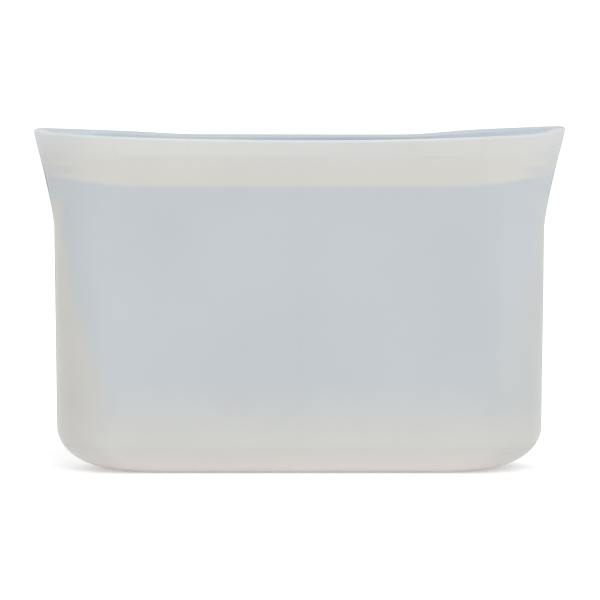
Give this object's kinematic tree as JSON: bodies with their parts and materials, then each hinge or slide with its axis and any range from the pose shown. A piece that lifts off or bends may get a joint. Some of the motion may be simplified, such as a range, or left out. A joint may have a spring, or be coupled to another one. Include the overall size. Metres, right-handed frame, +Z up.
{
  "type": "reusable silicone bag",
  "caption": "Stand-up silicone storage bag: flat oval foot, two soft wall panels that close to a press-shut zip, pull lips and flared ears.",
  "frame": {"origin": "middle of the foot, on the plane the bag stands on", "axes": "+Z up, +X towards the right ear, -Y towards the front panel"},
  "size_m": [0.21, 0.048, 0.136],
  "materials": {
    "silicone_wall": "matt translucent silicone, cool grey-blue where the wall is thin",
    "silicone_band": "matt silicone, warm milky white where it is thick",
    "silicone_zip": "satin milky silicone",
    "silicone_foot": "matt silicone, warm milky white"
  },
  "bodies": {
    "root": {"base_floor": "silicone_foot", "heel_band": "silicone_foot", "left_ear": "silicone_band", "right_ear": "silicone_band", "left_front_gusset": "silicone_wall", "left_back_gusset": "silicone_wall", "right_front_gusset": "silicone_wall", "right_back_gusset": "silicone_wall", "left_front_web": "silicone_band", "left_back_web": "silicone_band", "right_front_web": "silicone_band", "right_back_web": "silicone_band"},
    "front_panel": {"front_wall": "silicone_wall", "front_zip_band": "silicone_band", "zip_track_upper_jaw": "silicone_zip", "zip_track_lower_jaw": "silicone_zip"},
    "back_panel": {"back_wall": "silicone_wall", "back_zip_band": "silicone_band", "zip_rib": "silicone_zip"},
    "front_pull_lip": {"front_lip": "silicone_band"},
    "back_pull_lip": {"back_lip": "silicone_band"}
  },
  "joints": [
    {"name": "front_panel_tilt", "type": "hinge", "parent": "root", "child": "front_panel", "pos_m": [0, -0.02325, 0.01], "axis": [-1, 0, 0], "range_deg": [-6, 5.6], "stiffness_Nm_per_rad": 0.35},
    {"name": "back_panel_tilt", "type": "hinge", "parent": "root", "child": "back_panel", "pos_m": [0, 0.02325, 0.01], "axis": [1, 0, 0], "range_deg": [-6, 5.6], "stiffness_Nm_per_rad": 0.35},
    {"name": "front_lip_peel", "type": "hinge", "parent": "front_panel", "child": "front_pull_lip", "pos_m": [0, -0.01532, 0.1243], "axis": [1, 0, 0], "range_deg": [0, 25], "stiffness_Nm_per_rad": 0.02},
    {"name": "back_lip_peel", "type": "hinge", "parent": "back_panel", "child": "back_pull_lip", "pos_m": [0, 0.01532, 0.1243], "axis": [-1, 0, 0], "range_deg": [0, 25], "stiffness_Nm_per_rad": 0.02}
  ],
  "couplings": [
    {"joint": "back_panel_tilt", "follows": "front_panel_tilt", "ratio": 1}
  ]
}
